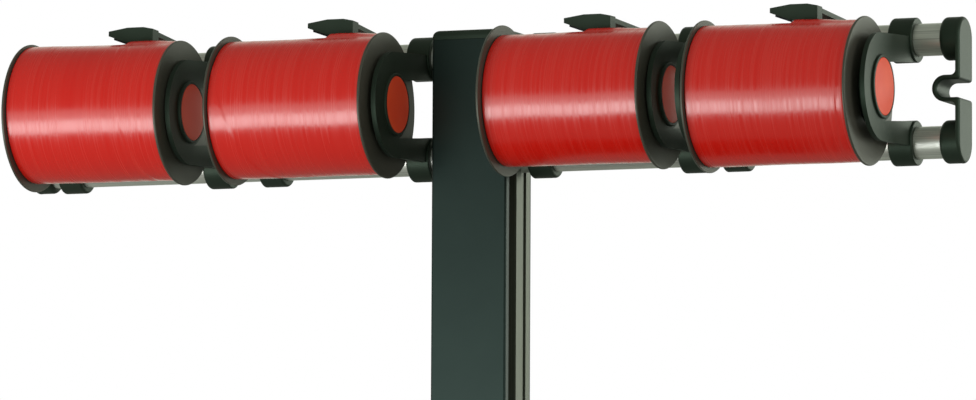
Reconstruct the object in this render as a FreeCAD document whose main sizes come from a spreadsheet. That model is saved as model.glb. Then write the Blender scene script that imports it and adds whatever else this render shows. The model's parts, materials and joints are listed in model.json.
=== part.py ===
import FreeCAD, Part
import os

import Sketcher

# Counter-top ribbon spool dispenser: a slotted aluminium post on a steel base carries two cross rods,
# and four ribbon reels hang in front of them between sliding fork brackets, each with a cutter above it.
# Millimetres, +Z up, front towards -Y. The origin lies on the counter under the post, in the rods' plane.

doc = FreeCAD.newDocument("RibbonSpoolDispenser")
sheet = doc.addObject("Spreadsheet::Sheet", "dim")

SIZES = {
    # base, on the counter
    "base_length": 300,
    "base_depth": 230,
    "base_thick": 8,
    "base_forward": 20,
    "base_corner_r": 18,
    "base_edge_r": 1.5,
    "mat_thick": 1.5,
    "mat_inset": 3,
    "bolt_hole_d": 6.6,
    "bolt_inset": 20,
    # post, measured from the plane of the rods' axes
    "post_width": 50,
    "post_front": 30,
    "post_back": 11.8,
    "post_above": 46.1,
    "profile_wall": 2.5,
    "profile_back_wall": 3.8,
    "slot_width": 12.3,
    "slot_depth": 9,
    "ridge_width": 7.2,
    "flank_width": 6.3,
    "flank_inset": 0.8,
    "groove_width": 2.7,
    "groove_depth": 2.5,
    "port_wall": 2.6,
    "cover_thick": 2,
    "cover_lip": 5.5,
    "cover_lip_thick": 1.5,
    "cover_edge_r": 1.6,
    "rear_strip_thick": 1.2,
    "top_cap_thick": 6,
    "top_cap_round": 4,
    "top_cap_plug": 8,
    "cap_groove_gap": 0.3,
    # screws
    "screw_d": 5.2,
    "screw_head_d": 10,
    "screw_head_high": 5,
    "screw_length": 24,
    "lock_screw_d": 4,
    "lock_head_d": 7.6,
    "lock_head_high": 2.2,
    "lock_screw_length": 5.4,
    # cross rods
    "mid_height": 365,
    "rod_d": 20,
    "rod_wall": 1.5,
    "rod_pitch": 63.2,
    # end caps
    "end_wall": 2.6,
    "strap_width": 26.8,
    "strap_round": 2.2,
    "socket_d": 26.6,
    "socket_length": 13.5,
    "socket_round": 3,
    "notch_depth": 14.6,
    "notch_width": 10.8,
    "notch_wall": 2.8,
    "notch_mouth_r": 2,
    "notch_root_r": 3,
    # reels
    "flange_left_d": 93,
    "flange_right_d": 90.6,
    "flange_thick": 1.6,
    "flange_rim": 0.5,
    "reel_width": 101.4,
    "reel_bore_d": 36.8,
    "reel_4_bore_d": 41,
    "core_wall": 2,
    "wound_1_d": 86,
    "wound_2_d": 86,
    "wound_3_d": 82,
    "wound_4_d": 86,
    "wound_round": 0.8,
    # fork brackets
    "hub_forward": 64,
    "hub_drop": 3.3,
    "plate_thick": 3,
    "ring_d": 65.6,
    "boss_d": 42,
    "collar_d": 39,
    "collar_proud": 1.6,
    "collar_bore_d": 35.4,
    "collar_edge_r": 0.7,
    "fork_gap": 36.1,
    "fork_height": 67.6,
    "fork_fall": 6.1,
    "sleeve_d": 27.7,
    "sleeve_length": 15.6,
    "sleeve_proud": 1.3,
    "sleeve_round": 1.8,
    "sleeve_edge_r": 0.8,
    # hubs
    "hub_stub_d": 36.2,
    "hub_stub_length": 9,
    "hub_bore_d": 26,
    "hub_end_wall": 2.5,
    "hub_lead_in": 1.2,
    "hub_edge": 0.4,
    # cutters, measured from the upper rod's axis
    "clip_wall": 1.6,
    "clip_width": 12,
    "clip_mouth": 14,
    "strip_back_rise": 13,
    "strip_front_rise": 15.4,
    "strip_thick": 3,
    "beak_length": 31.5,
    "beak_slope": 14,
    "beak_back": 53,
    "beak_front": 62,
    "beak_top": 17.5,
    "beak_under": 8,
    "beak_tip_low": 12.9,
    "beak_tip_high": 15.9,
    "beak_tip_depth": 4,
    "beak_tip_back": 2.5,
    "beak_brow": 6.5,
    "beak_fall": 1.3,
    "blade_thick": 0.6,
    "blade_forward": 57.5,
    "blade_depth": 3,
    "blade_edge": 1.2,
    "blade_start": 3,
    # clearances
    "running_fit": 0.05,
    "seat_gap": 0.05,
    "wound_gap": 0.1,
    # along the rods: bare rod beside the post, between two brackets, and beside the end caps
    "free_post_left": 8.8,
    "free_pair_left": 22.2,
    "free_end_left": 6.2,
    "free_post_right": 6.8,
    "free_pair_right": 12.45,
    "free_end_right": 17.2,
    # along the rods: running gap beside each reel's flanges
    "gap_1_left": 1.9,
    "gap_1_right": 1.35,
    "gap_2_left": 0.4,
    "gap_2_right": 2.75,
    "gap_3_left": 0.4,
    "gap_3_right": 1.65,
    "gap_4_left": 5.3,
    "gap_4_right": 5.55,
    # how far each cutter's right end lies past its reel's middle, and its lift in degrees
    "cutter_1_past": 28.9,
    "cutter_2_past": 27.85,
    "cutter_3_past": 17.2,
    "cutter_4_past": 18.7,
    "cutter_1_lift": 2.7,
    "cutter_2_lift": 2.6,
    "cutter_3_lift": -0.8,
    "cutter_4_lift": 0.1,
}

for row, (alias, value) in enumerate(SIZES.items(), start=1):
    sheet.set("A%d" % row, alias)
    sheet.set("B%d" % row, str(value))
    sheet.setAlias("B%d" % row, alias)
doc.recompute()


def size(alias):
    """The number in the sheet's cell of that name."""
    return float(sheet.get(alias))


# ---------------------------------------------------------------- sketches and features

def new_body(label, across="0", forward="0", height="0"):
    """An empty body whose place in the dispenser is bound to the sheet."""
    body = doc.addObject("PartDesign::Body", label)
    body.Label = label
    for direction, expression in (("x", across), ("y", forward), ("z", height)):
        body.setExpression("Placement.Base." + direction, expression)
    return body


def sketch_on(body, plane, shift="0"):
    """A sketch on one of the body's origin planes, moved along the plane's normal."""
    sketch = body.newObject("Sketcher::SketchObject", "Sketch")
    support = next(f for f in body.Origin.OriginFeatures if f.Role == plane)
    sketch.AttachmentSupport = [(support, "")]
    sketch.MapMode = "FlatFace"
    sketch.setExpression("AttachmentOffset.Base.z", shift)
    return sketch


def pin_point(sketch, edge, end, across, up):
    """Holds one end of a sketch edge at two distances from the sketch's origin."""
    for kind, expression in (("DistanceX", across), ("DistanceY", up)):
        index = sketch.addConstraint(Sketcher.Constraint(kind, -1, 1, edge, end, 1.0))
        sketch.setExpression("Constraints[%d]" % index, expression)


def draw_outline(sketch, corners):
    """A closed outline of straight edges through corners given as pairs of expressions."""
    count = len(corners)
    turn = FreeCAD.Rotation(FreeCAD.Vector(0, 0, 1), 360.0 / count)
    places = [FreeCAD.Vector(10, 0, 0)]
    for _ in corners[1:]:
        places.append(turn.multVec(places[-1]))
    first = sketch.GeometryCount
    for index in range(count):
        sketch.addGeometry(Part.LineSegment(places[index], places[(index + 1) % count]), False)
    for index in range(count):
        follower = first + (index + 1) % count
        sketch.addConstraint(Sketcher.Constraint("Coincident", first + index, 2, follower, 1))
    for index, (across, up) in enumerate(corners):
        pin_point(sketch, first + index, 1, across, up)


def draw_box(sketch, low, high):
    """A rectangle between two opposite corners."""
    draw_outline(sketch, [low, (high[0], low[1]), high, (low[0], high[1])])


def draw_circle(sketch, across, up, radius):
    """A circle at a centre, with its radius."""
    circle = Part.Circle(FreeCAD.Vector(1, 1, 0), FreeCAD.Vector(0, 0, 1), 1.0)
    edge = sketch.addGeometry(circle, False)
    pin_point(sketch, edge, 3, across, up)
    index = sketch.addConstraint(Sketcher.Constraint("Radius", edge, 1.0))
    sketch.setExpression("Constraints[%d]" % index, radius)


def add_pad(body, sketch, length, backwards=False):
    """Material added along the sketch's normal, or against it."""
    pad = body.newObject("PartDesign::Pad", "Pad")
    pad.Profile = sketch
    pad.Reversed = backwards
    pad.setExpression("Length", length)
    return pad


def add_pocket(body, sketch, length, forwards=False):
    """Material removed against the sketch's normal, or along it."""
    pocket = body.newObject("PartDesign::Pocket", "Pocket")
    pocket.Profile = sketch
    pocket.Reversed = forwards
    pocket.setExpression("Length", length)
    return pocket


def add_turning(body, sketch):
    """The sketch's outline turned once round the sketch's horizontal axis."""
    turning = body.newObject("PartDesign::Revolution", "Revolution")
    turning.Profile = sketch
    turning.ReferenceAxis = (sketch, ["H_Axis"])
    turning.Angle = 360
    return turning


def add_rounding(body, radius, is_chosen):
    """Rounds the edges of the body's last feature that a test picks out."""
    doc.recompute()
    last = body.Tip
    names = ["Edge%d" % (n + 1) for n, edge in enumerate(last.Shape.Edges) if is_chosen(edge)]
    if not names:
        raise ValueError("no edge to round on " + body.Label)
    rounding = body.newObject("PartDesign::Fillet", "Fillet")
    rounding.Base = (last, names)
    rounding.setExpression("Radius", radius)
    return rounding


def near(value, wanted):
    """True for two lengths that are the same to a hundredth of a millimetre."""
    return abs(value - wanted) < 0.01


def is_circle(edge, radius):
    """True for an arc or circle of that radius."""
    return isinstance(edge.Curve, Part.Circle) and near(edge.Curve.Radius, radius)


def lies_at(edge, direction, place):
    """True for an edge that keeps to one place along X, Y or Z."""
    box = edge.BoundBox
    low, high = getattr(box, direction + "Min"), getattr(box, direction + "Max")
    return near(low, place) and near(high, place)


# ---------------------------------------------------------------- base

# A rubber mat under a steel plate, both drilled for four counter screws.
BASE_CORNERS = (
    ("-dim.base_length / 2", "-dim.base_forward - dim.base_depth / 2"),
    ("dim.base_length / 2", "-dim.base_forward + dim.base_depth / 2"),
)
BOLT_X = "(dim.base_length / 2 - dim.bolt_inset)"
BOLT_Y = "(dim.base_depth / 2 - dim.bolt_inset)"
BOLT_HOLES = [
    ("%s %s" % (side, BOLT_X), "-dim.base_forward %s %s" % (end, BOLT_Y))
    for side in ("0 -", "0 +") for end in ("-", "+")
]
FLOOR = "(dim.mat_thick + dim.base_thick)"


def is_upright(edge):
    """True for a straight edge along Z."""
    box = edge.BoundBox
    return isinstance(edge.Curve, Part.Line) and near(box.XLength, 0) and near(box.YLength, 0)


def drill(body, places, radius, depth, shift="0"):
    """Round holes drilled upwards from a level of the body."""
    holes = sketch_on(body, "XY_Plane", shift)
    for across, forward in places:
        draw_circle(holes, across, forward, radius)
    return add_pocket(body, holes, depth, forwards=True)


def build_mat():
    """Non-slip rubber mat, set back from the plate's edge."""
    body = new_body("rubber_mat")
    sketch = sketch_on(body, "XY_Plane")
    low, high = BASE_CORNERS
    draw_box(
        sketch,
        [edge + " + dim.mat_inset" for edge in low],
        [edge + " - dim.mat_inset" for edge in high],
    )
    add_pad(body, sketch, "dim.mat_thick")
    add_rounding(body, "dim.base_corner_r - dim.mat_inset", is_upright)
    drill(body, BOLT_HOLES, "dim.bolt_hole_d / 2 + dim.mat_inset / 2", "dim.mat_thick")
    drill(body, POST_PORTS, "dim.screw_head_d / 2 + dim.mat_inset / 2", "dim.mat_thick")
    return body


def build_base_plate():
    """Steel plate with rounded corners, a softened top edge, and holes for the counter and the post."""
    body = new_body("base_plate", height="dim.mat_thick")
    sketch = sketch_on(body, "XY_Plane")
    draw_box(sketch, *BASE_CORNERS)
    add_pad(body, sketch, "dim.base_thick")
    add_rounding(body, "dim.base_corner_r", is_upright)
    add_rounding(body, "dim.base_edge_r", lambda edge: lies_at(edge, "Z", size("base_thick")))
    drill(body, BOLT_HOLES, "dim.bolt_hole_d / 2", "dim.base_thick")
    drill(body, POST_PORTS, "dim.screw_d / 2 + dim.running_fit", "dim.base_thick")
    drill(body, POST_PORTS, "dim.screw_head_d / 2 + dim.seat_gap", "dim.screw_head_high")
    return body


# ---------------------------------------------------------------- post

# The extrusion's section steps back from each side, front to rear: the cover's lip, a deep slot,
# a bright ridge, a flat flank, a narrow groove and a rib. Its screw ports stand in the hollow's corners.
HALF = "dim.post_width / 2"
PROFILE_FRONT = "-dim.post_front + dim.cover_thick"
PROFILE_REAR = "dim.post_back - dim.rear_strip_thick"
SLOT_FRONT = "-dim.post_front + dim.cover_lip"
RIDGE_FRONT = SLOT_FRONT + " + dim.slot_width"
FLANK_FRONT = RIDGE_FRONT + " + dim.ridge_width"
GROOVE_FRONT = FLANK_FRONT + " + dim.flank_width"
RIB_FRONT = GROOVE_FRONT + " + dim.groove_width"
SLOT_BOTTOM = HALF + " - dim.slot_depth"
GROOVE_BOTTOM = HALF + " - dim.groove_depth"
PORT_R = "(dim.screw_d / 2 + dim.port_wall)"
POST_PORTS = [
    ("%s (%s - dim.profile_wall / 2 - %s)" % (side, wall, PORT_R), forward)
    for side in ("0 -", "0 +")
    for wall, forward in (
        (SLOT_BOTTOM, "%s + dim.profile_wall / 2 + %s" % (PROFILE_FRONT, PORT_R)),
        (GROOVE_BOTTOM, "%s - dim.profile_back_wall / 2 - %s" % (PROFILE_REAR, PORT_R)),
    )
]
CAP_UNDERSIDE = "(dim.mid_height + dim.post_above - dim.top_cap_thick)"
ROD_LEVELS = ("-dim.rod_pitch / 2", "dim.rod_pitch / 2")


def mirrored_outline(right_half):
    """A closed outline from its right half, which runs from front to rear."""
    left_half = [("-(%s)" % across, forward) for across, forward in reversed(right_half)]
    return right_half + left_half


def build_profile():
    """Natural aluminium extrusion with a slot down each side, cross-bored for the rods."""
    body = new_body("post_profile", height=FLOOR)
    high = "%s - %s" % (CAP_UNDERSIDE, FLOOR)
    section = sketch_on(body, "XY_Plane")
    inside_lip = HALF + " - dim.cover_lip_thick - dim.seat_gap"
    draw_outline(section, mirrored_outline([
        (inside_lip, PROFILE_FRONT),
        (inside_lip, SLOT_FRONT),
        (SLOT_BOTTOM, SLOT_FRONT),
        (SLOT_BOTTOM, RIDGE_FRONT),
        (HALF, RIDGE_FRONT),
        (HALF, FLANK_FRONT),
        (HALF + " - dim.flank_inset", FLANK_FRONT),
        (HALF + " - dim.flank_inset", GROOVE_FRONT),
        (GROOVE_BOTTOM, GROOVE_FRONT),
        (GROOVE_BOTTOM, RIB_FRONT),
        (HALF, RIB_FRONT),
        (HALF, PROFILE_REAR),
    ]))
    add_pad(body, section, high)
    hollow = sketch_on(body, "XY_Plane")
    draw_outline(hollow, mirrored_outline([
        (SLOT_BOTTOM + " - dim.profile_wall", PROFILE_FRONT + " + dim.profile_wall"),
        (SLOT_BOTTOM + " - dim.profile_wall", RIDGE_FRONT + " + dim.profile_wall"),
        (GROOVE_BOTTOM + " - dim.profile_wall", RIDGE_FRONT + " + dim.profile_wall"),
        (GROOVE_BOTTOM + " - dim.profile_wall", PROFILE_REAR + " - dim.profile_back_wall"),
    ]))
    add_pocket(body, hollow, high, forwards=True)
    ports = sketch_on(body, "XY_Plane")
    for across, forward in POST_PORTS:
        draw_circle(ports, across, forward, PORT_R)
    add_pad(body, ports, high)
    drill(body, POST_PORTS, "dim.screw_d / 2 + dim.running_fit", high)
    bores = sketch_on(body, "YZ_Plane", "-dim.post_width / 2")
    for level in ROD_LEVELS:
        draw_circle(bores, "0", "dim.mid_height - %s + %s" % (FLOOR, level), "dim.rod_d / 2 + dim.seat_gap")
    add_pocket(body, bores, "dim.post_width", forwards=True)
    lock_holes = sketch_on(body, "XZ_Plane")
    for level in ROD_LEVELS:
        draw_circle(lock_holes, "0", "dim.mid_height - %s + %s" % (FLOOR, level),
                    "dim.lock_screw_d / 2 + dim.seat_gap")
    add_pocket(body, lock_holes, "dim.post_back")
    return body


def build_front_cover():
    """Black cover over the post's whole front, wrapped a little way round both sides."""
    body = new_body("post_front_cover", height=FLOOR)
    section = sketch_on(body, "XY_Plane")
    front = "-dim.post_front"
    inside = HALF + " - dim.cover_lip_thick"
    draw_outline(section, [
        ("-(%s)" % HALF, front),
        (HALF, front),
        (HALF, SLOT_FRONT),
        (inside, SLOT_FRONT),
        (inside, PROFILE_FRONT),
        ("-(%s)" % inside, PROFILE_FRONT),
        ("-(%s)" % inside, SLOT_FRONT),
        ("-(%s)" % HALF, SLOT_FRONT),
    ])
    add_pad(body, section, "%s - %s" % (CAP_UNDERSIDE, FLOOR))
    add_rounding(
        body, "dim.cover_edge_r",
        lambda edge: is_upright(edge) and lies_at(edge, "Y", -size("post_front")),
    )
    return body


def build_rear_strip():
    """Black strip down the post's back, drilled for the screws that lock the rods."""
    body = new_body("post_rear_strip", height=FLOOR)
    section = sketch_on(body, "XY_Plane")
    draw_box(section, ("-(%s)" % HALF, PROFILE_REAR), (HALF, "dim.post_back"))
    add_pad(body, section, "%s - %s" % (CAP_UNDERSIDE, FLOOR))
    holes = sketch_on(body, "XZ_Plane")
    for level in ROD_LEVELS:
        draw_circle(holes, "0", "dim.mid_height - %s + %s" % (FLOOR, level),
                    "dim.lock_screw_d / 2 + dim.seat_gap")
    add_pocket(body, holes, "dim.post_back")
    return body


def build_top_cap():
    """Moulded cap with rounded top edges, a groove over the upper rod, and a tongue in the post."""
    body = new_body("post_top_cap", height=CAP_UNDERSIDE)
    sketch = sketch_on(body, "XY_Plane")
    draw_box(sketch, ("-(%s)" % HALF, "-dim.post_front"), (HALF, "dim.post_back"))
    add_pad(body, sketch, "dim.top_cap_thick")
    add_rounding(body, "dim.cover_edge_r", is_upright)
    add_rounding(body, "dim.top_cap_round", lambda edge: lies_at(edge, "Z", size("top_cap_thick")))
    plug = sketch_on(body, "XY_Plane")
    inner_x = "(%s - dim.profile_wall / 2 - 2 * %s - dim.running_fit)" % (GROOVE_BOTTOM, PORT_R)
    draw_box(
        plug,
        ("-" + inner_x, "%s + dim.profile_wall / 2 + 2 * %s + dim.running_fit" % (PROFILE_FRONT, PORT_R)),
        (inner_x, PROFILE_REAR + " - dim.profile_back_wall - dim.running_fit"),
    )
    add_pad(body, plug, "dim.top_cap_plug", backwards=True)
    groove = sketch_on(body, "YZ_Plane", "-dim.post_width / 2")
    rod_level = "dim.mid_height + %s - %s" % (ROD_LEVELS[1], CAP_UNDERSIDE)
    draw_circle(groove, "0", rod_level, "dim.rod_d / 2 + dim.cap_groove_gap")
    add_pocket(body, groove, "dim.post_width", forwards=True)
    return body


# ---------------------------------------------------------------- screws

AXES = {"X": FreeCAD.Vector(1, 0, 0), "Y": FreeCAD.Vector(0, 1, 0), "Z": FreeCAD.Vector(0, 0, 1)}


def add_rod_shape(name, axis, radius, length, place):
    """A plain cylinder along an axis, with its first end at a place given as three expressions."""
    shape = doc.addObject("Part::Cylinder", name)
    shape.Placement.Rotation = FreeCAD.Rotation(AXES["Z"], AXES[axis])
    shape.setExpression("Radius", radius)
    shape.setExpression("Height", length)
    for direction, expression in zip("xyz", place):
        shape.setExpression("Placement.Base." + direction, expression)
    return shape


def build_screws(label, screws):
    """Like screws in one group: each is a head fused to its shank, both given as cylinders."""
    fused = []
    for pieces in screws:
        fuse = doc.addObject("Part::MultiFuse", label + "_piece")
        fuse.Shapes = [add_rod_shape(label + "_shape", *piece) for piece in pieces]
        fused.append(fuse)
    group = doc.addObject("Part::Compound", label)
    group.Label = label
    group.Links = fused
    return group


def build_post_screws():
    """Cap screws driven up through the base plate into the post's ports."""
    screws = []
    for across, forward in POST_PORTS:
        head = ("Z", "dim.screw_head_d / 2", "dim.screw_head_high", (across, forward, "dim.mat_thick"))
        shank = ("Z", "dim.screw_d / 2", "dim.screw_length", (across, forward, "dim.mat_thick"))
        screws.append((head, shank))
    return build_screws("post_screws", screws)


def build_lock_screws():
    """Pan-head screws through the post's back into each rod."""
    screws = []
    for level in ROD_LEVELS:
        height = "dim.mid_height + " + level
        head = ("Y", "dim.lock_head_d / 2", "dim.lock_head_high", ("0", "dim.post_back", height))
        tip = "dim.post_back - dim.lock_screw_length"
        shank = ("Y", "dim.lock_screw_d / 2", "dim.lock_screw_length", ("0", tip, height))
        screws.append((head, shank))
    return build_screws("rod_lock_screws", screws)


# ---------------------------------------------------------------- places along the rods

# Each side is laid out from the post outwards: bare rod, a bracket, its reel, the reel's other bracket,
# bare rod, the next reel with its two brackets, bare rod, and the end cap. A bracket's place is the
# outer face of its plate, and its sleeves stand a little proud of that face.
HALF_REEL = "(dim.reel_width / 2 + dim.flange_thick)"
OUTER_FACES = {}
MIDDLES = {}
CAP_FACES = {}
for side, sign, numbers in (("left", "-", (2, 1)), ("right", "+", (3, 4))):
    near_hand = "right" if side == "left" else "left"
    place = "0 %s dim.post_width / 2" % sign
    for number, free in zip(numbers, ("post", "pair")):
        place += " %s (dim.free_%s_%s + dim.sleeve_proud)" % (sign, free, side)
        OUTER_FACES[number, near_hand] = place
        place += " %s (dim.plate_thick + dim.gap_%d_%s + %s)" % (sign, number, near_hand, HALF_REEL)
        MIDDLES[number] = place
        place += " %s (%s + dim.gap_%d_%s + dim.plate_thick)" % (sign, HALF_REEL, number, side)
        OUTER_FACES[number, side] = place
        place += " %s dim.sleeve_proud" % sign
    CAP_FACES[side] = "%s %s (dim.free_end_%s + dim.socket_length)" % (place, sign, side)


# ---------------------------------------------------------------- cross rods and end caps

def build_rod(label, level):
    """Aluminium tube across the post, with a hole in line with the post's middle for the lock screw."""
    body = new_body(label, height="dim.mid_height + " + level)
    section = sketch_on(body, "YZ_Plane", CAP_FACES["left"] + " + dim.end_wall")
    draw_circle(section, "0", "0", "dim.rod_d / 2")
    draw_circle(section, "0", "0", "dim.rod_d / 2 - dim.rod_wall")
    add_pad(body, section, "(%s) - (%s) - 2 * dim.end_wall" % (CAP_FACES["right"], CAP_FACES["left"]))
    lock_hole = sketch_on(body, "XZ_Plane")
    draw_circle(lock_hole, "0", "0", "dim.lock_screw_d / 2 + dim.seat_gap")
    add_pocket(body, lock_hole, "dim.rod_d")
    return body


def build_end_cap(label, is_right):
    """Moulded strap that closes both rods at one end and folds inwards to a U notch between them."""
    inward = "-" if is_right else ""
    body = new_body(label, across=CAP_FACES["right" if is_right else "left"], height="dim.mid_height")
    strap = sketch_on(body, "YZ_Plane")
    draw_box(strap, ("-dim.strap_width / 2", ROD_LEVELS[0]), ("dim.strap_width / 2", ROD_LEVELS[1]))
    add_pad(body, strap, "dim.end_wall", backwards=is_right)
    for level in ROD_LEVELS:
        end = sketch_on(body, "YZ_Plane")
        draw_circle(end, "0", level, "dim.strap_width / 2")
        add_pad(body, end, "dim.end_wall", backwards=is_right)
    add_rounding(body, "dim.strap_round", lambda edge: lies_at(edge, "X", 0))
    for level in ROD_LEVELS:
        socket = sketch_on(body, "YZ_Plane", inward + "dim.strap_round")
        draw_circle(socket, "0", level, "dim.socket_d / 2")
        add_pad(body, socket, "dim.socket_length - dim.strap_round", backwards=is_right)
    bend = "%s(dim.notch_depth - dim.notch_width / 2)" % (inward or "1 * ")
    notch_half = "(dim.notch_width / 2)"
    for is_notch, half in ((False, "(%s + dim.notch_wall)" % notch_half), (True, notch_half)):
        for is_round in (False, True):
            side_view = sketch_on(body, "XZ_Plane", "dim.strap_width / 2")
            if is_round:
                draw_circle(side_view, bend, "0", half)
            else:
                mouth_end = "0" if is_notch else inward + "dim.strap_round"
                draw_box(side_view, (bend, "-" + half), (mouth_end, half))
            if is_notch:
                add_pocket(body, side_view, "dim.strap_width")
            else:
                add_pad(body, side_view, "dim.strap_width", backwards=True)
    sign = 1 if is_right else -1
    wall, mouth = size("end_wall"), size("notch_width") / 2
    outer_half = mouth + size("notch_wall")
    add_rounding(body, "dim.notch_mouth_r", lambda edge: (
        lies_at(edge, "X", 0) and any(lies_at(edge, "Z", z) for z in (mouth, -mouth))))
    add_rounding(body, "dim.notch_root_r", lambda edge: (
        lies_at(edge, "X", -sign * wall) and any(lies_at(edge, "Z", z) for z in (outer_half, -outer_half))))
    add_rounding(body, "dim.socket_round", lambda edge: (
        lies_at(edge, "X", -sign * size("socket_length")) and is_circle(edge, size("socket_d") / 2)))
    bores = sketch_on(body, "YZ_Plane", inward + "dim.end_wall")
    for level in ROD_LEVELS:
        draw_circle(bores, "0", level, "dim.rod_d / 2 + dim.running_fit")
    add_pocket(body, bores, "dim.socket_length", forwards=not is_right)
    return body


# ---------------------------------------------------------------- fork brackets and hubs

def build_bracket(label, outer_face, is_right):
    """Moulded fork: two sleeves on the rods, arms that drop a little to a round front, and a hub's collar.

    The outer face of its plate is at X = 0 of the body. The collar and the sleeves stand proud of it.
    """
    outward, inward = ("", "-") if is_right else ("-", "")
    body = new_body(label, across=outer_face, height="dim.mid_height")
    hub_y, hub_z = "-dim.hub_forward", "-dim.hub_drop"

    def add_plate(draw, *places):
        sketch = sketch_on(body, "YZ_Plane")
        draw(sketch, *places)
        add_pad(body, sketch, "dim.plate_thick", backwards=is_right)

    add_plate(draw_circle, hub_y, hub_z, "dim.ring_d / 2")
    gap_corners = {}
    for end in ("+", "-"):
        gap_corners[end] = [
            ("0", "0 %s dim.fork_gap / 2" % end),
            (hub_y, "-dim.fork_fall %s dim.fork_gap / 2" % end),
        ]
        add_plate(draw_outline, [
            (hub_y, "%s %s dim.ring_d / 2" % (hub_z, end)),
            ("0", "0 %s dim.fork_height / 2" % end),
        ] + gap_corners[end])
    gap = sketch_on(body, "YZ_Plane")
    draw_outline(gap, gap_corners["+"] + gap_corners["-"][::-1])
    add_pocket(body, gap, "dim.plate_thick", forwards=not is_right)
    add_plate(draw_circle, hub_y, hub_z, "dim.boss_d / 2")
    collar = sketch_on(body, "YZ_Plane", inward + "dim.plate_thick / 2")
    draw_circle(collar, hub_y, hub_z, "dim.collar_d / 2")
    add_pad(body, collar, "dim.collar_proud + dim.plate_thick / 2", backwards=not is_right)
    for level in ROD_LEVELS:
        sleeve = sketch_on(body, "YZ_Plane", outward + "dim.sleeve_proud")
        draw_circle(sleeve, "0", level, "dim.sleeve_d / 2")
        add_pad(body, sleeve, "dim.sleeve_length", backwards=is_right)
    sign = 1 if is_right else -1
    add_rounding(body, "dim.sleeve_edge_r", lambda edge: (
        lies_at(edge, "X", sign * size("sleeve_proud")) and is_circle(edge, size("sleeve_d") / 2)))
    sleeve_inner = -sign * (size("sleeve_length") - size("sleeve_proud"))
    add_rounding(body, "dim.sleeve_round", lambda edge: (
        lies_at(edge, "X", sleeve_inner) and is_circle(edge, size("sleeve_d") / 2)))
    add_rounding(body, "dim.collar_edge_r", lambda edge: (
        lies_at(edge, "X", sign * size("collar_proud")) and is_circle(edge, size("collar_d") / 2)))
    bores = sketch_on(body, "YZ_Plane", outward + "(dim.collar_proud + dim.sleeve_proud)")
    for level in ROD_LEVELS:
        draw_circle(bores, "0", level, "dim.rod_d / 2 + dim.running_fit")
    draw_circle(bores, hub_y, hub_z, "dim.collar_bore_d / 2")
    depth = "dim.collar_proud + dim.sleeve_proud + dim.sleeve_length"
    add_pocket(body, bores, depth, forwards=not is_right)
    return body


def build_hub(label, outer_face, is_right):
    """Hub snapped into a bracket's collar: its closed end shows flush outside, its stub carries the reel."""
    outward, inward = ("+", "-") if is_right else ("-", "")
    body = new_body(
        label,
        across="%s %s dim.collar_proud" % (outer_face, outward),
        forward="-dim.hub_forward",
        height="dim.mid_height - dim.hub_drop",
    )
    end_r = "dim.collar_bore_d / 2 - dim.seat_gap"
    shoulder = "(dim.collar_proud + dim.plate_thick)"
    reach = "(%s + dim.hub_stub_length)" % shoulder
    side_view = sketch_on(body, "XZ_Plane")
    outline = [
        ("0", "0"),
        ("0", end_r + " - dim.hub_edge"),
        ("dim.hub_edge", end_r),
        (shoulder, end_r),
        (shoulder, "dim.hub_stub_d / 2"),
        (reach + " - dim.hub_lead_in", "dim.hub_stub_d / 2"),
        (reach, "dim.hub_stub_d / 2 - dim.hub_lead_in"),
        (reach, "dim.hub_bore_d / 2"),
        ("dim.hub_end_wall", "dim.hub_bore_d / 2"),
        ("dim.hub_end_wall", "0"),
    ]
    draw_outline(side_view, [(inward + "(%s)" % along, out) for along, out in outline])
    add_turning(body, side_view)
    return body


# ---------------------------------------------------------------- reels and ribbon

# Three reels run closely on their hubs. The fourth has a wider bore, so it hangs lower.
BORES = {1: "dim.reel_bore_d", 2: "dim.reel_bore_d", 3: "dim.reel_bore_d", 4: "dim.reel_4_bore_d"}
INSIDE = "dim.reel_width / 2"


def new_reel_body(label, middle, bore):
    """A body at a reel's middle, as low as the reel's bore hangs on its hubs."""
    hang = "(%s / 2 - dim.hub_stub_d / 2 - dim.running_fit)" % bore
    height = "dim.mid_height - dim.hub_drop - " + hang
    return new_body(label, across=middle, forward="-dim.hub_forward", height=height)


def mirrored_ends(right_half):
    """The corners of a right half, mirrored to the left of the middle in reversed order."""
    return [("-(%s)" % along, out) for along, out in reversed(right_half)]


def build_reel(label, middle, bore):
    """Moulded reel: a tube with a thin flange at each end, the left one a little wider."""
    body = new_reel_body(label, middle, bore)
    side_view = sketch_on(body, "XZ_Plane")
    outside = INSIDE + " + dim.flange_thick"
    right_half, left_half = [
        [
            (INSIDE, bore + " / 2 + dim.core_wall"),
            (INSIDE, flange_r),
            (outside + " - dim.flange_rim", flange_r),
            (outside, flange_r + " - dim.flange_rim"),
            (outside, bore + " / 2"),
        ]
        for flange_r in ("dim.flange_right_d / 2", "dim.flange_left_d / 2")
    ]
    draw_outline(side_view, right_half + mirrored_ends(left_half))
    add_turning(body, side_view)
    return body


def build_ribbon(label, middle, bore, wound_d):
    """Ribbon wound on a reel, as one solid roll with softened ends."""
    body = new_reel_body(label, middle, bore)
    side_view = sketch_on(body, "XZ_Plane")
    end = INSIDE + " - dim.wound_gap"
    right_half = [
        (end + " - dim.wound_round", wound_d + " / 2"),
        (end, wound_d + " / 2 - dim.wound_round"),
        (end, bore + " / 2 + dim.core_wall + dim.wound_gap"),
    ]
    draw_outline(side_view, right_half + mirrored_ends(right_half))
    add_turning(body, side_view)
    return body


# ---------------------------------------------------------------- cutters

SLOPE = "((dim.beak_tip_low - dim.beak_under) / dim.beak_slope)"
BLADE_TIP_X = "-dim.beak_length + dim.blade_start"
BLADE_TIP_Z = "dim.beak_tip_low - dim.blade_start * " + SLOPE
BLADE_ROOT_X = "-dim.beak_length + dim.beak_slope"


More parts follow.
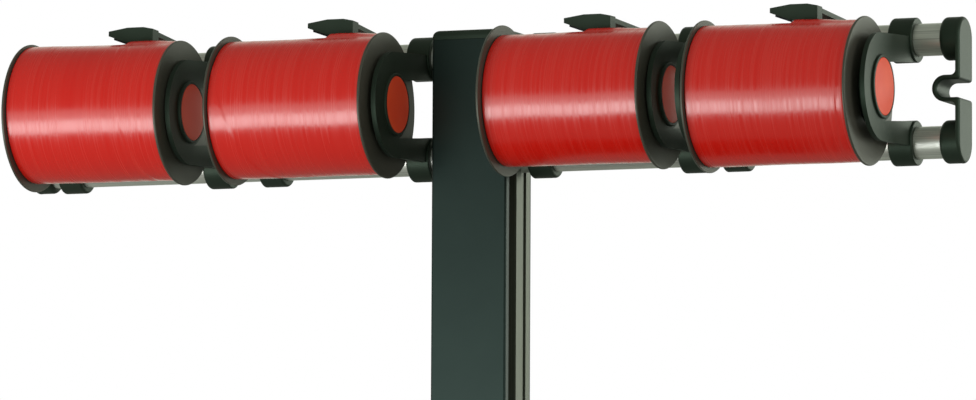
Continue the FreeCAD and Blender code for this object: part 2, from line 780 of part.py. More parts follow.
def blade_outline(clear):
    """The blade's four corners, widened by a clearance."""
    return [
        ("%s - %s" % (BLADE_TIP_X, clear), BLADE_TIP_Z + " - dim.blade_edge"),
        ("%s + %s" % (BLADE_ROOT_X, clear), "dim.beak_under - dim.blade_edge"),
        ("%s + %s" % (BLADE_ROOT_X, clear), "dim.beak_under + dim.blade_depth + " + clear),
        ("%s - %s" % (BLADE_TIP_X, clear), "%s + dim.blade_depth + %s" % (BLADE_TIP_Z, clear)),
    ]


def new_cutter_body(label, right_end, lift):
    """A body on the upper rod's axis, turned about the rod so that its front is lifted by an angle."""
    body = new_body(label, across=right_end, height="dim.mid_height + dim.rod_pitch / 2")
    body.Placement.Rotation = FreeCAD.Rotation(FreeCAD.Vector(-1, 0, 0), 1)
    body.setExpression("Placement.Rotation.Angle", lift)
    return body


def build_cutter(label, right_end, lift):
    """Moulded cutter: a snap clip on the upper rod, a flat strip forwards, and a beak over the ribbon."""
    body = new_cutter_body(label, right_end, lift)
    clip_r = "(dim.rod_d / 2 + dim.running_fit + dim.clip_wall)"
    clip = sketch_on(body, "YZ_Plane")
    draw_circle(clip, "0", "0", clip_r)
    add_pad(body, clip, "dim.clip_width", backwards=True)
    strip = sketch_on(body, "YZ_Plane")
    strip_end = "-dim.beak_back - dim.strip_thick"
    draw_outline(strip, [
        ("0", "dim.strip_back_rise"),
        (strip_end, "dim.strip_front_rise"),
        (strip_end, "dim.strip_front_rise - dim.strip_thick"),
        ("0", "dim.strip_back_rise - dim.strip_thick"),
    ])
    add_pad(body, strip, "dim.clip_width", backwards=True)
    bore = sketch_on(body, "YZ_Plane")
    draw_circle(bore, "0", "0", "dim.rod_d / 2 + dim.running_fit")
    add_pocket(body, bore, "dim.clip_width")
    mouth = sketch_on(body, "YZ_Plane")
    draw_box(mouth, ("-dim.clip_mouth / 2", "-" + clip_r), ("dim.clip_mouth / 2", "0"))
    add_pocket(body, mouth, "dim.clip_width")
    beak = sketch_on(body, "XZ_Plane", "dim.beak_front")
    draw_outline(beak, [
        ("0", "dim.beak_under"),
        ("0", "dim.beak_top - dim.beak_fall"),
        ("-dim.beak_brow", "dim.beak_top"),
        ("-dim.beak_length + dim.beak_slope", "dim.beak_top"),
        ("-dim.beak_length", "dim.beak_tip_high"),
        ("-dim.beak_length", "dim.beak_tip_low"),
        ("-dim.beak_length + dim.beak_slope", "dim.beak_under"),
    ])
    add_pad(body, beak, "dim.beak_front - dim.beak_back", backwards=True)
    tip_front = "-dim.beak_front + dim.beak_tip_back"
    tip_rear = tip_front + " + dim.beak_tip_depth"
    for edge, tip in (("-dim.beak_front", tip_front), ("-dim.beak_back", tip_rear)):
        corner = sketch_on(body, "XY_Plane")
        draw_outline(corner, [
            ("-dim.beak_length", edge),
            ("-dim.beak_length + dim.beak_slope", edge),
            ("-dim.beak_length", tip),
        ])
        add_pocket(body, corner, "dim.beak_top", forwards=True)
    slot = sketch_on(body, "XZ_Plane", "dim.blade_forward + dim.blade_thick / 2 + dim.seat_gap")
    draw_outline(slot, blade_outline("dim.seat_gap"))
    add_pocket(body, slot, "dim.blade_thick + 2 * dim.seat_gap")
    return body


def build_blade(label, right_end, lift):
    """Steel blade let into the beak's sloping underside."""
    body = new_cutter_body(label, right_end, lift)
    side_view = sketch_on(body, "XZ_Plane", "dim.blade_forward + dim.blade_thick / 2")
    draw_outline(side_view, blade_outline("0"))
    add_pad(body, side_view, "dim.blade_thick", backwards=True)
    return body


# ---------------------------------------------------------------- the whole dispenser

parts = [
    build_mat(),
    build_base_plate(),
    build_profile(),
    build_front_cover(),
    build_rear_strip(),
    build_top_cap(),
    build_post_screws(),
    build_lock_screws(),
    build_rod("lower_rod", ROD_LEVELS[0]),
    build_rod("upper_rod", ROD_LEVELS[1]),
    build_end_cap("left_end_cap", is_right=False),
    build_end_cap("right_end_cap", is_right=True),
]
for number in (1, 2, 3, 4):
    middle = MIDDLES[number]
    parts.append(build_reel("reel_%d" % number, middle, BORES[number]))
    parts.append(build_ribbon("ribbon_%d" % number, middle, BORES[number], "dim.wound_%d_d" % number))
    for hand, is_right in (("left", False), ("right", True)):
        outer_face = OUTER_FACES[number, hand]
        parts.append(build_bracket("bracket_%d_%s" % (number, hand), outer_face, is_right))
        parts.append(build_hub("hub_%d_%s" % (number, hand), outer_face, is_right))
    right_end = "%s + dim.cutter_%d_past" % (middle, number)
    lift = "dim.cutter_%d_lift" % number
    parts.append(build_cutter("cutter_%d" % number, right_end, lift))
    parts.append(build_blade("cutter_%d_blade" % number, right_end, lift))

doc.recompute()

for item in doc.Objects:
    if "Invalid" in item.State or "Error" in item.State:
        raise RuntimeError("%s (%s) did not build" % (item.Name, item.Label))
for part in parts:
    if part.Shape.isNull() or not part.Shape.isValid():
        raise RuntimeError(part.Label + " has no valid shape")

os.makedirs("parts", exist_ok=True)
for part in parts:
    part.Shape.exportStep("parts/%s.step" % part.Label)
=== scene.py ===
import json
import math
import random

import bmesh
import bpy
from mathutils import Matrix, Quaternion, Vector


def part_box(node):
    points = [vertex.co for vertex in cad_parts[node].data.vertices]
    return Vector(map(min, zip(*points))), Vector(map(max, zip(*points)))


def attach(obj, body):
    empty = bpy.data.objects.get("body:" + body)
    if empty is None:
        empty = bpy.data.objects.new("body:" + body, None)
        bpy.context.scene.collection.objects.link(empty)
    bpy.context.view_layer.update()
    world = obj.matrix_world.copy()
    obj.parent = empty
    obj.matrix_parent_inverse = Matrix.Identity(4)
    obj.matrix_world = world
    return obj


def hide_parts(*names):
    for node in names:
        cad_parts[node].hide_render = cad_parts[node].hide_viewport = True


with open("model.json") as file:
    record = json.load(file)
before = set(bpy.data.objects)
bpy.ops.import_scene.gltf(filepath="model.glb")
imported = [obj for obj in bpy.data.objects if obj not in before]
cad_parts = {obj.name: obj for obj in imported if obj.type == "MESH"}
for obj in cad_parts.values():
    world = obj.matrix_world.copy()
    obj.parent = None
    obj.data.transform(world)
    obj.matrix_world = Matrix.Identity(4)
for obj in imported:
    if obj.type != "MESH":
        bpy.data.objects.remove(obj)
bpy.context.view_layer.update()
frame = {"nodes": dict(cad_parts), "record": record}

# Ribbon spool dispenser for a shop counter: twin rods across a post, four reels of red curling
# ribbon between fork brackets, and a cutter over each reel. Metres, +Z up, front towards -Y.

# ---------------------------------------------------------------- camera
# A long lens from the front right, a little below the rods, so that the verticals stay upright.
IMAGE_WIDTH = 976
SENSOR_WIDTH = 36.0
FOCAL_PIXELS = 7721
CAMERA_AZIMUTH = math.radians(21.86)
CAMERA_ELEVATION = math.radians(-5.33)
CAMERA_ROLL = math.radians(0.28)
CAMERA_DISTANCE = 4.811
AIM_ABOVE_COUNTER = 0.3071
AIM_RIGHT_OF_POST = 0.001

aim = Vector((AIM_RIGHT_OF_POST, 0, AIM_ABOVE_COUNTER))
towards_camera = Vector((
    math.sin(CAMERA_AZIMUTH) * math.cos(CAMERA_ELEVATION),
    -math.cos(CAMERA_AZIMUTH) * math.cos(CAMERA_ELEVATION),
    math.sin(CAMERA_ELEVATION),
))
facing_aim = (-towards_camera).to_track_quat("-Z", "Y")
camera_data = bpy.data.cameras.new("camera")
camera_data.sensor_width = SENSOR_WIDTH
camera_data.lens = FOCAL_PIXELS / IMAGE_WIDTH * SENSOR_WIDTH
camera = bpy.data.objects.new("camera", camera_data)
camera.location = aim + towards_camera * CAMERA_DISTANCE
camera.rotation_mode = "QUATERNION"
camera.rotation_quaternion = facing_aim @ Quaternion((0, 0, 1), CAMERA_ROLL)
bpy.context.scene.collection.objects.link(camera)
bpy.context.scene.camera = camera
bpy.context.scene.view_settings.view_transform = "Standard"

# ---------------------------------------------------------------- base
# The base is a steel plate, laser cut with round corners and powder coated black. It stands on a
# rubber mat and is bolted to the post from below.
MM = 0.001

# Corners this close are one, faces that meet at less than the flat angle are one, and edges are
# rounded where faces meet at more than the sharp angle.
WELD_DISTANCE = 0.002 * MM
FLAT_ANGLE = math.radians(1)
SHARP_ANGLE = math.radians(35)
EDGE_SEGMENTS = 2

# Most of a noise texture's values lie between the low and the high one.
NOISE_LOW = 0.35
NOISE_HIGH = 0.65
GRAINS_PER_CLOUD = 40
SPOTS_GLOSSIER = 0.05
SPOTS_DULLER = 0.07


def linear(hex_colour):
    """The linear RGBA of an sRGB colour written as six hex digits."""
    channels = [int(hex_colour[n:n + 2], 16) / 255 for n in (0, 2, 4)]
    return [c / 12.92 if c <= 0.04045 else ((c + 0.055) / 1.055) ** 2.4 for c in channels] + [1.0]


def add_node(tree, kind, settings=None, **links):
    """A node with its attributes set; its inputs, by name or _number, take values or sockets."""
    node = tree.nodes.new(kind)
    for name, value in (settings or {}).items():
        setattr(node, name, value)
    for name, value in links.items():
        key = int(name[1:]) if name[1:].isdigit() else name.replace("_", " ")
        socket = node.inputs[key]
        if isinstance(value, bpy.types.NodeSocket):
            tree.links.new(value, socket)
        else:
            socket.default_value = value
    return node


def new_material(name, base_colour, roughness, **shader_values):
    """A Principled material; returns the material, its node tree and its shader."""
    material = bpy.data.materials.new(name)
    material.use_nodes = True
    tree = material.node_tree
    shader = tree.nodes["Principled BSDF"]
    shader.inputs["Base Color"].default_value = linear(base_colour)
    shader.inputs["Roughness"].default_value = roughness
    for socket_name, value in shader_values.items():
        shader.inputs[socket_name.replace("_", " ")].default_value = value
    return material, tree, shader


def grain_material(name, dark, light, roughness, grain, depth, **shader_values):
    """A finish with an even grain: clouds between two tones, and spots that differ in gloss.

    Grain is the size of the spots, and depth how far they stand proud, both in metres.
    """
    material, tree, shader = new_material(name, dark, roughness, **shader_values)
    place = add_node(tree, "ShaderNodeTexCoord").outputs["Object"]
    spots = add_node(tree, "ShaderNodeTexNoise", Vector=place, Scale=1 / grain, Detail=3.0)
    clouds = add_node(tree, "ShaderNodeTexNoise", Vector=place,
                      Scale=1 / (grain * GRAINS_PER_CLOUD), Detail=2.0)
    blend = add_node(tree, "ShaderNodeMapRange", _0=clouds.outputs["Fac"],
                     _1=NOISE_LOW, _2=NOISE_HIGH)
    tone = add_node(tree, "ShaderNodeMix", {"data_type": "RGBA"}, _0=blend.outputs[0],
                    _6=linear(dark), _7=linear(light))
    gloss = add_node(tree, "ShaderNodeMapRange", _0=spots.outputs["Fac"],
                     _3=roughness - SPOTS_GLOSSIER, _4=roughness + SPOTS_DULLER)
    bump = add_node(tree, "ShaderNodeBump", Height=spots.outputs["Fac"],
                    Distance=depth, Strength=1.0)
    tree.links.new(tone.outputs[2], shader.inputs["Base Color"])
    tree.links.new(gloss.outputs[0], shader.inputs["Roughness"])
    tree.links.new(bump.outputs["Normal"], shader.inputs["Normal"])
    return material


def give_material(piece, material):
    """The piece's only material."""
    piece.data.materials.clear()
    piece.data.materials.append(material)


def finish_piece(shape, piece_name, material, node, smooth_below=SHARP_ANGLE):
    """Turns a bmesh into a piece that stands for a CAD node and rides on its body."""
    mesh = bpy.data.meshes.new(piece_name)
    shape.to_mesh(mesh)
    shape.free()
    mesh.shade_smooth()
    mesh.set_sharp_from_angle(angle=smooth_below)
    piece = bpy.data.objects.new(piece_name, mesh)
    bpy.context.scene.collection.objects.link(piece)
    flat_faces = piece.modifiers.new("flat_faces", "WEIGHTED_NORMAL")
    flat_faces.keep_sharp = True
    give_material(piece, material)
    bodies = frame["record"]["behaviour"]["bodies"]
    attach(piece, next(body for body, members in bodies.items() if node in members))
    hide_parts(node)
    return piece


def dress_node(node, piece_name, material, edge_radius):
    """A smooth copy of a CAD node with its sharp edges rounded off, which stands for that node."""
    shape = bmesh.new()
    shape.from_mesh(frame["nodes"][node].data)
    bmesh.ops.remove_doubles(shape, verts=shape.verts, dist=WELD_DISTANCE)
    bmesh.ops.dissolve_limit(shape, angle_limit=FLAT_ANGLE, verts=shape.verts, edges=shape.edges)
    if edge_radius:
        sharp = [e for e in shape.edges if e.is_manifold and e.calc_face_angle() > SHARP_ANGLE]
        bmesh.ops.bevel(shape, geom=sharp, offset=edge_radius, offset_type="OFFSET",
                        segments=EDGE_SEGMENTS, profile=0.5, affect="EDGES",
                        clamp_overlap=True, material=-1)
    return finish_piece(shape, piece_name, material, node)


# Powder coat: a fine orange-peel that softens every reflection.
powder_coat = grain_material("black_powder_coat", "131615", "191c1b", roughness=0.42,
                             grain=0.9 * MM, depth=0.03 * MM)
# Rubber: matt, and a little grey with dust.
mat_rubber = grain_material("black_rubber", "121212", "1c1c1b", roughness=0.85,
                            grain=0.7 * MM, depth=0.08 * MM)
dress_node("base_plate", "base_plate_coated", powder_coat, edge_radius=0.4 * MM)
dress_node("rubber_mat", "rubber_mat_sheet", mat_rubber, edge_radius=0.2 * MM)

# ---------------------------------------------------------------- post
# The post is an extruded aluminium profile left in its natural satin finish. Black anodised strips
# cover its front and back, and a moulded cap closes its top.

# The lines that a die draws are this many times as long as they are wide. They darken the metal by
# their tone, most where the noise that draws them is high, and its gloss changes in wide clouds.
LINE_STRETCH = 400
LINE_TONE = "d2d2d2"
LINES_FROM = 0.4
LINES_FULL = 0.7
CLOUDS_PER_METRE = 60.0
CLOUDS_GLOSS = 0.06


def drawn_metal(name, colour, roughness, along, streak, depth, metallic=1.0):
    """Drawn or extruded metal: fine die lines that run along one axis of the piece."""
    material, tree, shader = new_material(name, colour, roughness, Metallic=metallic)
    place = add_node(tree, "ShaderNodeTexCoord").outputs["Object"]
    stretch = [1 / streak] * 3
    stretch["XYZ".index(along)] = 1 / (streak * LINE_STRETCH)
    lined = add_node(tree, "ShaderNodeMapping", Vector=place, Scale=stretch).outputs[0]
    lines = add_node(tree, "ShaderNodeTexNoise", Vector=lined, Scale=1.0, Detail=2.0)
    clouds = add_node(tree, "ShaderNodeTexNoise", Vector=place, Scale=CLOUDS_PER_METRE, Detail=3.0)
    darker = add_node(tree, "ShaderNodeMapRange", _0=lines.outputs["Fac"],
                      _1=LINES_FROM, _2=LINES_FULL)
    tone = add_node(tree, "ShaderNodeMix", {"data_type": "RGBA", "blend_type": "MULTIPLY"},
                    _0=darker.outputs[0], _6=linear(colour), _7=linear(LINE_TONE))
    gloss = add_node(tree, "ShaderNodeMapRange", _0=clouds.outputs["Fac"],
                     _3=roughness - CLOUDS_GLOSS, _4=roughness + CLOUDS_GLOSS)
    bump = add_node(tree, "ShaderNodeBump", Height=lines.outputs["Fac"],
                    Distance=depth, Strength=1.0)
    tree.links.new(tone.outputs[2], shader.inputs["Base Color"])
    tree.links.new(gloss.outputs[0], shader.inputs["Roughness"])
    tree.links.new(bump.outputs["Normal"], shader.inputs["Normal"])
    return material


# Extruded aluminium: die lines along the post, about 0.5 mm apart. Its satin skin scatters some
# light, so it isn't wholly metallic.
profile_aluminium = drawn_metal("extruded_aluminium", "6f7369", roughness=0.4, along="Z",
                                streak=0.5 * MM, depth=0.01 * MM, metallic=0.75)
# Black anodising: a thin satin skin with the sheet's faint grain, whose dye tints its reflections.
cover_anodised = grain_material("black_anodised_aluminium", "0c1211", "111816", roughness=0.34,
                                grain=0.8 * MM, depth=0.006 * MM,
                                Specular_IOR_Level=0.4, Specular_Tint=linear("d8fff4"))
# Black ABS: low gloss from a fine spark-eroded mould.
black_abs = grain_material("black_abs_moulding", "1b221c", "212822", roughness=0.46,
                           grain=0.8 * MM, depth=0.012 * MM,
                           Specular_IOR_Level=0.42, Specular_Tint=linear("dcffe2"))
# Zinc-plated steel: bright, slightly uneven.
zinc_steel = grain_material("zinc_plated_steel", "8d8f92", "a3a5a8", roughness=0.3,
                            grain=0.6 * MM, depth=0.01 * MM, Metallic=1.0)

dress_node("post_profile", "post_profile_extrusion", profile_aluminium,
           edge_radius=0.25 * MM)
dress_node("post_front_cover", "post_front_cover_sheet", cover_anodised,
           edge_radius=0.3 * MM)
dress_node("post_rear_strip", "post_rear_strip_sheet", cover_anodised,
           edge_radius=0.2 * MM)
dress_node("post_top_cap", "post_top_cap_moulding", black_abs,
           edge_radius=0.3 * MM)
dress_node("post_screws", "post_cap_screws", zinc_steel,
           edge_radius=0.3 * MM)
dress_node("rod_lock_screws", "rod_lock_pan_heads", zinc_steel,
           edge_radius=0.5 * MM)

# ---------------------------------------------------------------- rods and end caps
# The rods are drawn aluminium tubes, satin anodised. The end caps are moulded in black ABS and
# pushed on; their strap folds inwards to a springy U notch between the rods.

# Satin anodised aluminium: soft reflections, with faint drawing lines along the tube. The clear
# anodic skin scatters some light too.
rod_aluminium = drawn_metal("satin_anodised_tube", "eceee6", roughness=0.4, along="X",
                            streak=0.5 * MM, depth=0.004 * MM, metallic=0.8)
for level in ("lower", "upper"):
    dress_node(level + "_rod", level + "_rod_tube", rod_aluminium,
               edge_radius=0.2 * MM)
for side in ("left", "right"):
    dress_node(side + "_end_cap", side + "_end_cap_moulding", black_abs,
               edge_radius=0.7 * MM)

# ---------------------------------------------------------------- fork brackets and hubs
# Each bracket is one ABS moulding that slides on both rods. Its red hub snaps into the collar
# from inside, so that its closed end shows, flush with the collar's rim. Only a band at the hub's
# closed end is red. The rest of it, the barrel in the narrow gap between the plate and the reel's
# flange, is coloured black like the bracket, so that it shows dark there.
REELS = (1, 2, 3, 4)
HUB_RED_END = 1.5 * MM

# Red ABS: moulded smooth.
red_abs = grain_material("red_abs_moulding", "dc3c1c", "e44824", roughness=0.42,
                         grain=0.8 * MM, depth=0.01 * MM, Specular_IOR_Level=0.3)
for number in REELS:
    for side in ("left", "right"):
        bracket = "bracket_%d_%s" % (number, side)
        hub = "hub_%d_%s" % (number, side)
        dress_node(bracket, bracket + "_moulding", black_abs,
                   edge_radius=0.5 * MM)
        hub_piece = dress_node(hub, hub + "_moulding", red_abs,
                               edge_radius=0.3 * MM)
        # Faces farther than HUB_RED_END from the closed end take the black ABS, which keeps the
        # barrel dark.
        hub_piece.data.materials.append(black_abs)
        low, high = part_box(hub)
        closed_end = low[0] if side == "left" else high[0]
        for face in hub_piece.data.polygons:
            face.material_index = int(abs(face.center.x - closed_end) > HUB_RED_END)

# ---------------------------------------------------------------- reels and ribbon
# A reel is a smooth black moulding. On it lie hundreds of turns of polypropylene curling ribbon,
# glossy red, each turn lapping the last by most of its width.
REEL_BORES = {1: 36.8 * MM, 2: 36.8 * MM, 3: 36.8 * MM, 4: 41 * MM}
TUBE_WALL = 2 * MM
SPIN_STEPS = 144
ROLL_EDGE = 0.6 * MM
ROLL_SHARP_ANGLE = math.radians(60)

# A turn shows as a strip with a steep lip and a small step down to the next. The pitch varies
# between two shares of the mean, and a turn may lie up to so many steps low.
TURN_PITCH = 0.9 * MM
TURN_PITCH_SHARES = (0.55, 1.5)
TURN_LIP = 0.12 * MM
TURN_STEP = 0.014 * MM
TURN_STEPS_LOW = 1.6

# The roll is a little lumpy: so high, so many times round, and so quickly along.
LUMP = 0.1 * MM
LUMPS_ROUND = 3
LUMPS_ALONG = 9

# A beak holds the last turns up. The hold starts so far from the beak's tip and slackens farther
# on. It climbs in front of the roll's top and falls behind it, at these angles from the top.
HOLD_STARTS = (17 * MM, 20 * MM)
HOLD_SLACKENS = (34 * MM, 52 * MM)
HOLD_SLACK = 0.4
HOLD_CLIMBS = (math.radians(-18), math.radians(-5))
HOLD_FALLS = (math.radians(22), math.radians(40))

# A stray turn's edge is so wide, and fades out so far round from the middle of the front.
STRAY_EDGE = 1.2 * MM
STRAY_FADES = (math.radians(75), math.radians(115))

# Black reel plastic: moulded smooth, a warmer black than the brackets.
reel_plastic = grain_material("black_reel_moulding", "3a3731", "403d37", roughness=0.4,
                              grain=0.8 * MM, depth=0.006 * MM,
                              Specular_IOR_Level=0.55, Specular_Tint=linear("f4ffee"))

# Curling ribbon: pearly red polypropylene film, glossy, drawn along its length. The fine lines
# along the turns are 0.45 mm apart, coarser than the real film's, so that they show. Its tone and
# gloss change in bands of two turns or so. A line or band changes so often per metre of its length.
FILM_LINE = 0.45 * MM
FILM_LINE_CHANGES = 6.0
FILM_BAND = 2.2 * MM
FILM_BAND_CHANGES = 9.0
FILM_GLOSSIEST = 0.18
FILM_DULLEST = 0.31

ribbon_red, film_tree, film_shader = new_material("red_polypropylene_ribbon", "c8140a", 0.24,
                                                  Specular_IOR_Level=0.9)
film_place = add_node(film_tree, "ShaderNodeTexCoord").outputs["Object"]
line_place = add_node(film_tree, "ShaderNodeMapping", Vector=film_place,
                      Scale=(1 / FILM_LINE, FILM_LINE_CHANGES, FILM_LINE_CHANGES)).outputs[0]
film_lines = add_node(film_tree, "ShaderNodeTexNoise", Vector=line_place, Scale=1.0, Detail=3.0)
band_place = add_node(film_tree, "ShaderNodeMapping", Vector=film_place,
                      Scale=(1 / FILM_BAND, FILM_BAND_CHANGES, FILM_BAND_CHANGES)).outputs[0]
film_bands = add_node(film_tree, "ShaderNodeTexNoise", Vector=band_place, Scale=1.0, Detail=2.0)
lighter = add_node(film_tree, "ShaderNodeMapRange", _0=film_bands.outputs["Fac"],
                   _1=NOISE_LOW, _2=NOISE_HIGH)
film_tone = add_node(film_tree, "ShaderNodeMix", {"data_type": "RGBA"}, _0=lighter.outputs[0],
                     _6=linear("bd1108"), _7=linear("c11408"))
film_gloss = add_node(film_tree, "ShaderNodeMapRange", _0=film_bands.outputs["Fac"],
                      _1=NOISE_LOW, _2=NOISE_HIGH, _3=FILM_GLOSSIEST, _4=FILM_DULLEST)
film_bump = add_node(film_tree, "ShaderNodeBump", Height=film_lines.outputs["Fac"],
                     Distance=0.005 * MM, Strength=1.0)
film_tree.links.new(film_tone.outputs[2], film_shader.inputs["Base Color"])
film_tree.links.new(film_gloss.outputs[0], film_shader.inputs["Roughness"])
film_tree.links.new(film_bump.outputs["Normal"], film_shader.inputs["Normal"])


def fade(value, start, end):
    """Climbs smoothly from 0 at the start to 1 at the end."""
    part = min(max((value - start) / (end - start), 0.0), 1.0)
    return part * part * (3 - 2 * part)


def spin_section(section, centre):
    """A closed ring: a section, of places along the axis and radii, spun round the reel."""
    shape = bmesh.new()
    corners = [shape.verts.new((along, centre.y, centre.z + out)) for along, out in section]
    for last, corner in zip(corners[-1:] + corners[:-1], corners):
        shape.edges.new((last, corner))
    bmesh.ops.spin(shape, geom=shape.verts[:] + shape.edges[:], cent=centre, axis=(1, 0, 0),
                   angle=math.tau, steps=SPIN_STEPS, use_merge=True)
    bmesh.ops.recalc_face_normals(shape, faces=shape.faces)
    return shape


def wind_roll(number, rise, swell, pulled_up, strays):
    """The wound ribbon: lapped turns, spun as one section round the reel, then pressed out of true.

    Rise and swell are how far the roll's left and right ends stand up and grow, and pulled_up is
    how far the beak holds up the last turns, all in metres. Strays are turns wound at a slant, each
    given as its place along the roll at the front, its shift along the roll per radian, and the
    height of its edge.
    """
    draw = random.Random(number)
    node = "ribbon_%d" % number
    low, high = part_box(node)
    centre = (Vector(low) + Vector(high)) / 2
    radius = (high[2] - low[2]) / 2
    length = high[0] - low[0]
    tube = REEL_BORES[number] / 2 + TUBE_WALL
    across = low[0]
    section = [(across, tube), (across, radius - ROLL_EDGE)]
    across += ROLL_EDGE
    while across < high[0] - ROLL_EDGE - TURN_PITCH:
        top = radius - draw.uniform(0, TURN_STEPS_LOW) * TURN_STEP
        section += [(across, top - TURN_STEP), (across + TURN_LIP, top)]
        across += TURN_LIP + TURN_PITCH * draw.uniform(*TURN_PITCH_SHARES)
    section += [(high[0] - ROLL_EDGE, radius - TURN_STEP), (high[0], radius - ROLL_EDGE)]
    section += [(high[0], tube)]
    shape = spin_section(section, centre)
    beak_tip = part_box("cutter_%d" % number)[0][0]
    for point in shape.verts:
        along = (point.co.x - low[0]) / length
        out = Vector((0, point.co.y - centre.y, point.co.z - centre.z))
        from_top = math.atan2(out.y, out.z)
        from_front = from_top + math.pi / 2
        from_tip = point.co.x - beak_tip
        held_up = fade(from_tip, *HOLD_STARTS) * (1 - HOLD_SLACK * fade(from_tip, *HOLD_SLACKENS))
        held_up *= fade(from_top, *HOLD_CLIMBS) * (1 - fade(from_top, *HOLD_FALLS))
        lump = LUMP * math.sin(LUMPS_ROUND * from_top + number + LUMPS_ALONG * along)
        grow = swell[0] + (swell[1] - swell[0]) * along + lump + pulled_up * held_up
        in_front = 1 - fade(abs(from_front), *STRAY_FADES)
        for place, shift, height in strays:
            past_edge = along * length - place - shift * from_front
            grow += height * fade(past_edge, 0, STRAY_EDGE) * in_front
        outside = fade(out.length, radius - 2 * ROLL_EDGE, radius - ROLL_EDGE)
        point.co += out.normalized() * grow * outside
        point.co.z += (rise[0] + (rise[1] - rise[0]) * along) * outside
    finish_piece(shape, node + "_roll", ribbon_red, node,
                 smooth_below=ROLL_SHARP_ANGLE)


# The first roll has slipped upwards on its reel, most of all at its left end.
ROLL_RISES = {
    1: (1.8 * MM, 0.9 * MM),
    2: (0.3 * MM, 0.4 * MM),
    3: (-0.1 * MM, -0.2 * MM),
    4: (0.1 * MM, -0.5 * MM),
}
ROLL_SWELLS = {
    1: (0.2 * MM, 0),
    2: (0.05 * MM, 0.1 * MM),
    3: (-0.4 * MM, -0.3 * MM),
    4: (0.2 * MM, -0.6 * MM),
}
PULLED_UP = {1: 1.6 * MM, 2: 2.4 * MM, 3: 1.7 * MM, 4: 2.1 * MM}
STRAYS = {
    1: [
        (74 * MM, -8 * MM, 0.22 * MM),
        (84 * MM, -10 * MM, 0.16 * MM),
        (24 * MM, -3 * MM, -0.12 * MM),
    ],
    2: [(8 * MM, -14 * MM, -0.3 * MM), (62 * MM, 5 * MM, 0.12 * MM)],
    3: [(30 * MM, 2 * MM, 0.12 * MM)],
    4: [(44 * MM, -2 * MM, 0.12 * MM), (96 * MM, 3 * MM, -0.15 * MM)],
}
for number in REELS:
    reel = "reel_%d" % number
    dress_node(reel, reel + "_moulding", reel_plastic, edge_radius=0.3 * MM)
    wind_roll(number, ROLL_RISES[number], ROLL_SWELLS[number], PULLED_UP[number], STRAYS[number])

# ---------------------------------------------------------------- cutters
# The cutter is an ABS moulding snapped on the upper rod; its beak rests just over the roll. A steel
# blade is let into the beak's sloping underside.

# Blackened spring steel: a dark oxide skin with fine grinding lines across the edge.
blade_steel = drawn_metal("blackened_steel", "3c3d3f", roughness=0.35, along="Z",
                          streak=0.4 * MM, depth=0.005 * MM)
for number in REELS:
    cutter = "cutter_%d" % number
    blade = cutter + "_blade"
    dress_node(cutter, cutter + "_moulding", black_abs, edge_radius=0.8 * MM)
    dress_node(blade, cutter + "_blackened_blade", blade_steel, edge_radius=0)

# ---------------------------------------------------------------- floor, lights and surroundings
# A round pale floor that throws no light back, two soft lights on the right, a long low strip and a
# panel in front that draw the bright bands along the rolls, and a white backdrop behind the stand.
FLOOR_RADIUS = 0.9
FLOOR_SEGMENTS = 96
# To the eye the floor is lifted towards the backdrop's white; the stand's shadow stays on it.
FLOOR_LIFT = 0.3

floor_shape = bmesh.new()
bmesh.ops.create_circle(floor_shape, cap_ends=True, segments=FLOOR_SEGMENTS, radius=FLOOR_RADIUS)
floor_mesh = bpy.data.meshes.new("floor")
floor_shape.to_mesh(floor_mesh)
floor_shape.free()
floor = bpy.data.objects.new("floor", floor_mesh)
bpy.context.scene.collection.objects.link(floor)
floor.visible_diffuse = floor.visible_glossy = floor.visible_shadow = False
floor_paint, floor_tree, floor_shader = new_material("pale_floor", "f2f2f0", 0.8,
                                                     Emission_Color=linear("ffffff"))
to_the_eye = add_node(floor_tree, "ShaderNodeLightPath").outputs["Is Camera Ray"]
lift = add_node(floor_tree, "ShaderNodeMath", {"operation": "MULTIPLY"},
                _0=to_the_eye, _1=FLOOR_LIFT)
floor_tree.links.new(lift.outputs[0], floor_shader.inputs["Emission Strength"])
give_material(floor, floor_paint)


def add_light(name, place, target, width, height, watts, colour="ffffff"):
    """A soft rectangular light that faces a point and doesn't show itself."""
    data = bpy.data.lights.new(name, "AREA")
    data.shape = "RECTANGLE"
    data.size, data.size_y = width, height
    data.energy = watts
    data.color = linear(colour)[:3]
    light = bpy.data.objects.new(name, data)
    light.location = place
    direction = Vector(target) - Vector(place)
    light.rotation_mode = "QUATERNION"
    light.rotation_quaternion = direction.to_track_quat("-Z", "Y")
    light.visible_camera = False
    bpy.context.scene.collection.objects.link(light)


RODS_HEIGHT = 0.365
add_light("low_strip", place=(-0.63, -0.95, -0.06), target=(-0.5, 0, RODS_HEIGHT),
          width=1.2, height=0.36, watts=5.7)
add_light("front_panel", place=(-0.5, -0.97, 0.1), target=(-0.4, 0, RODS_HEIGHT),
          width=1.3, height=0.6, watts=3.2, colour="f6fffb")
add_light("right_back_soft", place=(1.0, 1.1, 0.45), target=(0.3, 0, RODS_HEIGHT),
          width=0.66, height=0.8, watts=4.2, colour="fbfff4")
add_light("right_soft", place=(1.3, -0.1, 0.55), target=(0.3, 0, RODS_HEIGHT),
          width=0.5, height=0.5, watts=2.6)

# The studio is white to the eye, and lights the stand from above more than from below. In
# reflections the backdrop behind the stand is white too, the room's right side is pale and the
# rest is dim. Their edges are soft: a pair says where on a ray's X, Y or tilt one starts and ends.
AMBIENT_BELOW = 0.5
AMBIENT_ABOVE = 0.84
MIRRORED_ROOM = 0.18
MIRRORED_BACKDROP = 1.0
BACKDROP_FRONT_EDGE = (0.1, 0.6)
BACKDROP_RIGHT_EDGE = (0.1, 0.4)
RIGHT_SIDE_SHARE = 0.4
BACKDROP_TILT = 0.2
BACKDROP_TILT_EDGES = (0.2, 0.55)

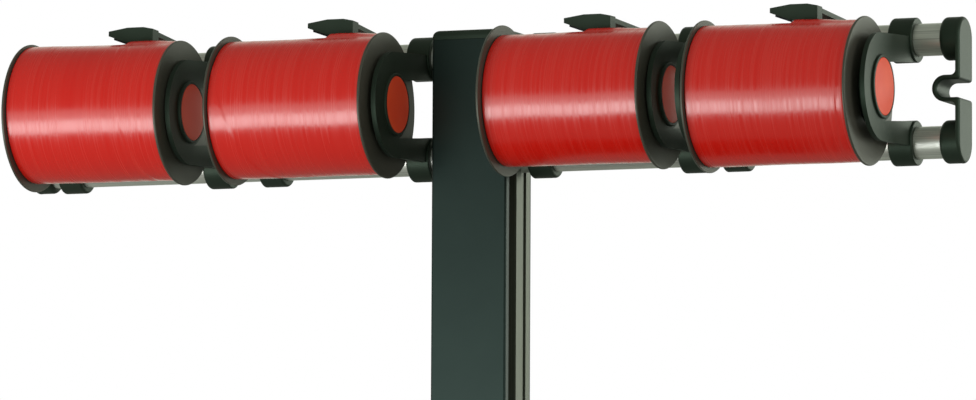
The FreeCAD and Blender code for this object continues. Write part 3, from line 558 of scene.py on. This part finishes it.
world = bpy.data.worlds.new("surroundings")
bpy.context.scene.world = world
world.use_nodes = True
sky = world.node_tree
sky.nodes.clear()
facing = add_node(sky, "ShaderNodeTexCoord").outputs["Generated"]
way = add_node(sky, "ShaderNodeSeparateXYZ", Vector=facing).outputs
ambient = add_node(sky, "ShaderNodeMapRange", _0=way["Z"], _1=-1.0, _2=1.0,
                   _3=AMBIENT_BELOW, _4=AMBIENT_ABOVE)
path = add_node(sky, "ShaderNodeLightPath").outputs
behind = add_node(sky, "ShaderNodeMapRange", _0=way["Y"],
                  _1=BACKDROP_FRONT_EDGE[0], _2=BACKDROP_FRONT_EDGE[1])
behind_or_right = add_node(sky, "ShaderNodeMapRange", _0=way["X"],
                           _1=BACKDROP_RIGHT_EDGE[0], _2=BACKDROP_RIGHT_EDGE[1],
                           _3=behind.outputs[0], _4=RIGHT_SIDE_SHARE)
tilt = add_node(sky, "ShaderNodeMath", {"operation": "SUBTRACT"}, _0=way["Z"], _1=BACKDROP_TILT)
tilt_either_way = add_node(sky, "ShaderNodeMath", {"operation": "ABSOLUTE"}, _0=tilt.outputs[0])
backdrop = add_node(sky, "ShaderNodeMapRange", _0=tilt_either_way.outputs[0],
                    _1=BACKDROP_TILT_EDGES[0], _2=BACKDROP_TILT_EDGES[1],
                    _3=behind_or_right.outputs[0], _4=0.0)
mirrored = add_node(sky, "ShaderNodeMapRange", _0=backdrop.outputs[0],
                    _3=MIRRORED_ROOM, _4=MIRRORED_BACKDROP)
strength = add_node(sky, "ShaderNodeMix", {"data_type": "FLOAT"}, _0=path["Is Glossy Ray"],
                    _2=ambient.outputs[0], _3=mirrored.outputs[0])
studio = add_node(sky, "ShaderNodeBackground", Color=linear("f2faea"), Strength=strength.outputs[0])
white = add_node(sky, "ShaderNodeBackground", Color=linear("ffffff"), Strength=1.0)
seen = add_node(sky, "ShaderNodeMath", {"operation": "MAXIMUM"},
                _0=path["Is Camera Ray"], _1=path["Is Transmission Ray"])
glow = add_node(sky, "ShaderNodeMixShader", _0=seen.outputs[0],
                _1=studio.outputs[0], _2=white.outputs[0])
add_node(sky, "ShaderNodeOutputWorld", Surface=glow.outputs[0])
